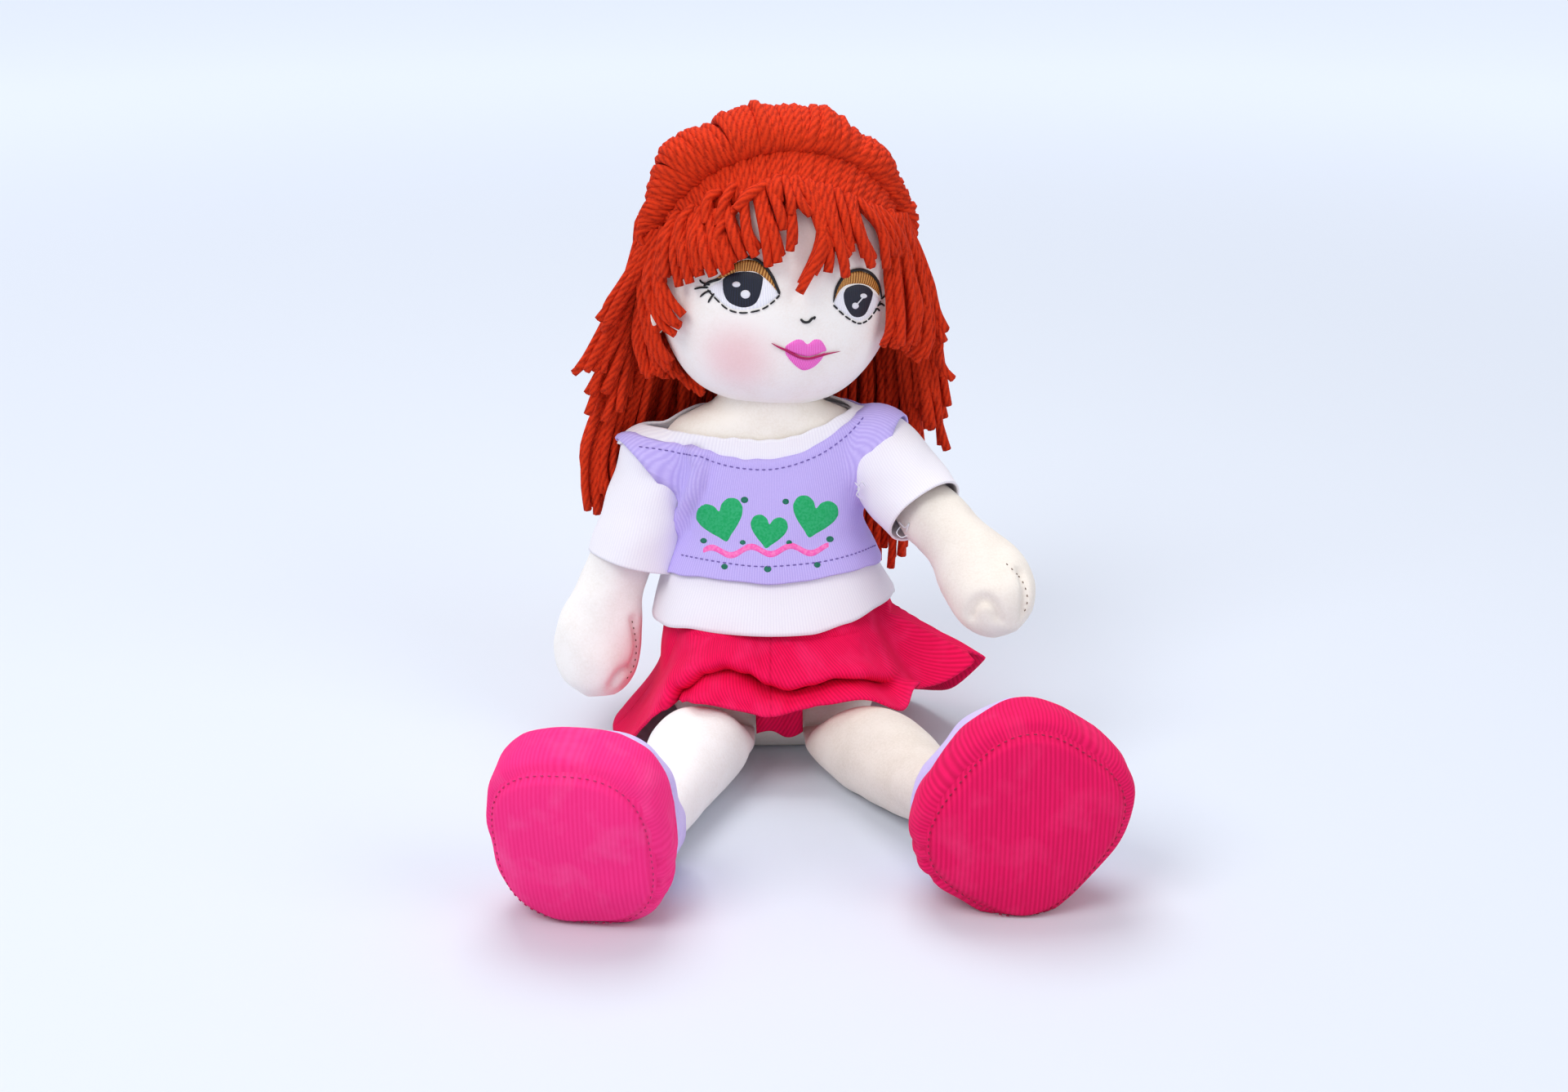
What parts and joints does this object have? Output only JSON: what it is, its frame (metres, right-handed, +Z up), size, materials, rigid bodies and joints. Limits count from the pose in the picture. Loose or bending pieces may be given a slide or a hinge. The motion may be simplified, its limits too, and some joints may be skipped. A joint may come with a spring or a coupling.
{
  "type": "plush rag doll",
  "caption": "Seated cloth doll with yarn hair, jersey top, short needlecord skirt and padded shoes, jointed at neck, shoulders and hips.",
  "frame": {"origin": "middle of the flat seat, on the surface that the doll sits on", "axes": "+Z up, the doll faces -Y, its own left arm is on the +X side"},
  "size_m": [0.2641, 0.2862, 0.3098],
  "materials": {
    "cream_velour": "short pile, matt",
    "white_jersey": "knit, matt",
    "lavender_jersey": "knit, matt",
    "crimson_needlecord": "fine ribbed pile",
    "pink_needlecord": "fine ribbed pile",
    "lavender_velour": "short pile, matt",
    "orange_yarn": "twisted acrylic yarn, matt",
    "polyester_fibre": "loose fibre",
    "elastic_tape": "woven tape"
  },
  "bodies": {
    "torso": {"torso_skin": "cream_velour", "torso_filling": "polyester_fibre", "shirt_body": "white_jersey", "shirt_neck_band": "white_jersey", "vest": "lavender_jersey", "skirt_front": "crimson_needlecord", "skirt_back": "crimson_needlecord", "waist_elastic": "elastic_tape"},
    "head": {"head_skin": "cream_velour", "head_filling": "polyester_fibre", "left_ear": "cream_velour", "right_ear": "cream_velour", "hair_cap": "orange_yarn", "hair_band": "orange_yarn", "crown_roll": "orange_yarn", "fringe": "orange_yarn", "right_side_hair": "orange_yarn", "left_side_hair": "orange_yarn", "back_hair": "orange_yarn"},
    "left_arm": {"left_arm_skin": "cream_velour", "left_arm_filling": "polyester_fibre", "left_sleeve": "white_jersey"},
    "left_leg": {"left_leg_skin": "cream_velour", "left_leg_filling": "polyester_fibre", "left_shoe_sole": "pink_needlecord", "left_shoe_band": "pink_needlecord", "left_shoe_upper": "lavender_velour", "left_foot_filling": "polyester_fibre"},
    "right_arm": {"right_arm_skin": "cream_velour", "right_arm_filling": "polyester_fibre", "right_sleeve": "white_jersey"},
    "right_leg": {"right_leg_skin": "cream_velour", "right_leg_filling": "polyester_fibre", "right_shoe_sole": "pink_needlecord", "right_shoe_band": "pink_needlecord", "right_shoe_upper": "lavender_velour", "right_foot_filling": "polyester_fibre"}
  },
  "joints": [
    {"name": "neck_turn", "type": "hinge", "parent": "torso", "child": "head", "pos_m": [-0.00293, 0.01318, 0.16746], "axis": [-0.0174, 0.0784, 0.9968], "range_deg": [-35, 35], "deforming": ["right_side_hair", "left_side_hair", "back_hair"]},
    {"name": "right_shoulder", "type": "hinge", "parent": "torso", "child": "right_arm", "pos_m": [-0.05788, 0.01067, 0.13559], "axis": [0, 1, 0], "range_deg": [0, 120], "deforming": ["right_sleeve"]},
    {"name": "left_shoulder", "type": "hinge", "parent": "torso", "child": "left_arm", "pos_m": [0.0531, 0.01082, 0.13752], "axis": [0, -1, 0], "range_deg": [-10, 85], "deforming": ["left_sleeve"]},
    {"name": "right_hip", "type": "hinge", "parent": "torso", "child": "right_leg", "pos_m": [-0.028, -0.03963, 0.01694], "axis": [1, 0, 0], "range_deg": [-30, 80], "deforming": ["skirt_front", "skirt_back"]},
    {"name": "left_hip", "type": "hinge", "parent": "torso", "child": "left_leg", "pos_m": [0.033, -0.03963, 0.01694], "axis": [1, 0, 0], "range_deg": [-30, 80], "deforming": ["skirt_front", "skirt_back"]}
  ]
}
